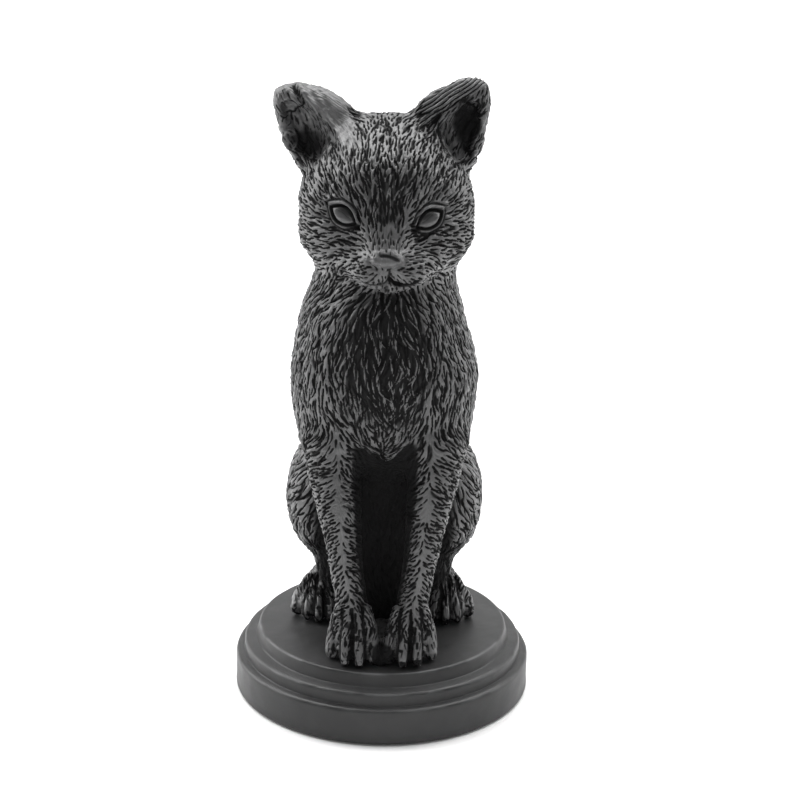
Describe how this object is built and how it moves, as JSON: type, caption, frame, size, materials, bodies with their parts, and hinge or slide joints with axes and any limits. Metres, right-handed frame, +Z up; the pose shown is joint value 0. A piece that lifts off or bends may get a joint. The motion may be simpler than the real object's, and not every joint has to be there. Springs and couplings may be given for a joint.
{
  "type": "seated cat figurine",
  "caption": "Seated black cat figurine with carved fur, upright ears and front paws together, on a round stepped plinth with felt feet.",
  "frame": {"origin": "centre of the footprint, on the shelf, under the felt pads", "axes": "+Z up, the cat faces -Y, its left side is +X"},
  "size_m": [0.084, 0.084, 0.1775],
  "materials": {
    "fur_glaze": "satin",
    "plinth": "satin",
    "rubber": "matte",
    "felt": "matte"
  },
  "bodies": {
    "root": {"plinth": "plinth", "vent_plug": "rubber", "felt_pads": "felt", "torso": "fur_glaze", "head": "fur_glaze", "left_ear": "fur_glaze", "right_ear": "fur_glaze", "left_foreleg": "fur_glaze", "right_foreleg": "fur_glaze", "left_hind_leg": "fur_glaze", "right_hind_leg": "fur_glaze", "tail": "fur_glaze"}
  },
  "joints": []
}
